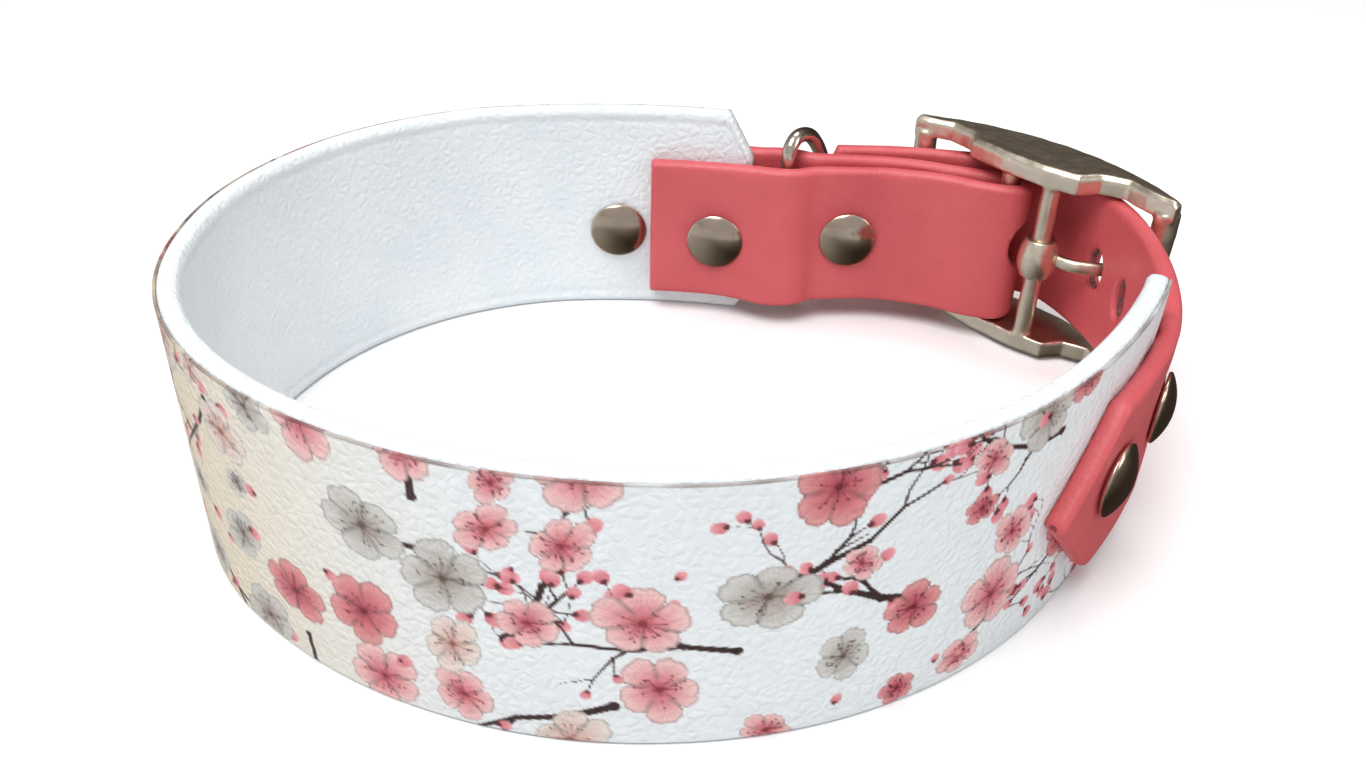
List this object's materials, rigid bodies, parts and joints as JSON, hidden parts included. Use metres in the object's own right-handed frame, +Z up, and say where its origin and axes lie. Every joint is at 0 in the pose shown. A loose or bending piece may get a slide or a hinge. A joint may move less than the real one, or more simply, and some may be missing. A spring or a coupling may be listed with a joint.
{
  "type": "buckle dog collar",
  "caption": "Wide printed dog collar with a narrow riveted strap, a cast curved buckle with a prong, and a D-ring for a leash.",
  "frame": {"origin": "on the surface that the collar stands on, under the middle of the whole collar", "axes": "+Z up across the band's width, +X towards the buckle and the narrow strap's side, -Y towards the printed front of the band"},
  "size_m": [0.1482, 0.1172, 0.038],
  "materials": {
    "printed_skin": "off-white grained skin printed with pale pink and grey blossoms on dark twigs",
    "lining": "bluish white, fine leather grain, satin",
    "woven_core": "woven polyester webbing, hidden inside the coating",
    "strap_coating": "coral red, smooth coated skin with rounded edges, satin",
    "cast_metal": "antique nickel on a zinc casting, worn bright on its edges",
    "ring_metal": "antique nickel on welded steel wire",
    "rivet_metal": "dark polished nickel"
  },
  "bodies": {
    "collar": {"band_print": "printed_skin", "band_core": "woven_core", "band_backing": "lining", "chape_coating": "strap_coating", "chape_core": "woven_core", "billet_coating": "strap_coating", "billet_core": "woven_core", "rivet_a_post": "rivet_metal", "rivet_a_cap": "rivet_metal", "rivet_b_post": "rivet_metal", "rivet_b_cap": "rivet_metal", "rivet_c_post": "rivet_metal", "rivet_c_cap": "rivet_metal", "rivet_d_post": "rivet_metal", "rivet_d_cap": "rivet_metal", "rivet_e_post": "rivet_metal", "rivet_e_cap": "rivet_metal"},
    "buckle": {"buckle_frame": "cast_metal"},
    "prong": {"prong": "cast_metal"},
    "d_ring": {"d_ring": "ring_metal"}
  },
  "joints": [
    {"name": "buckle_hinge", "type": "hinge", "parent": "collar", "child": "buckle", "pos_m": [0.04988, 0.03954, 0.0178], "axis": [0, 0, 1], "range_deg": [-1, 1]},
    {"name": "prong_hinge", "type": "hinge", "parent": "buckle", "child": "prong", "pos_m": [0.05504, 0.03258, 0.0187], "axis": [0, 0, 1], "range_deg": [0, 8]},
    {"name": "d_ring_hinge", "type": "hinge", "parent": "collar", "child": "d_ring", "pos_m": [0.01194, 0.04486, 0.0176], "axis": [0, 0, 1], "range_deg": [-4, 68]}
  ]
}
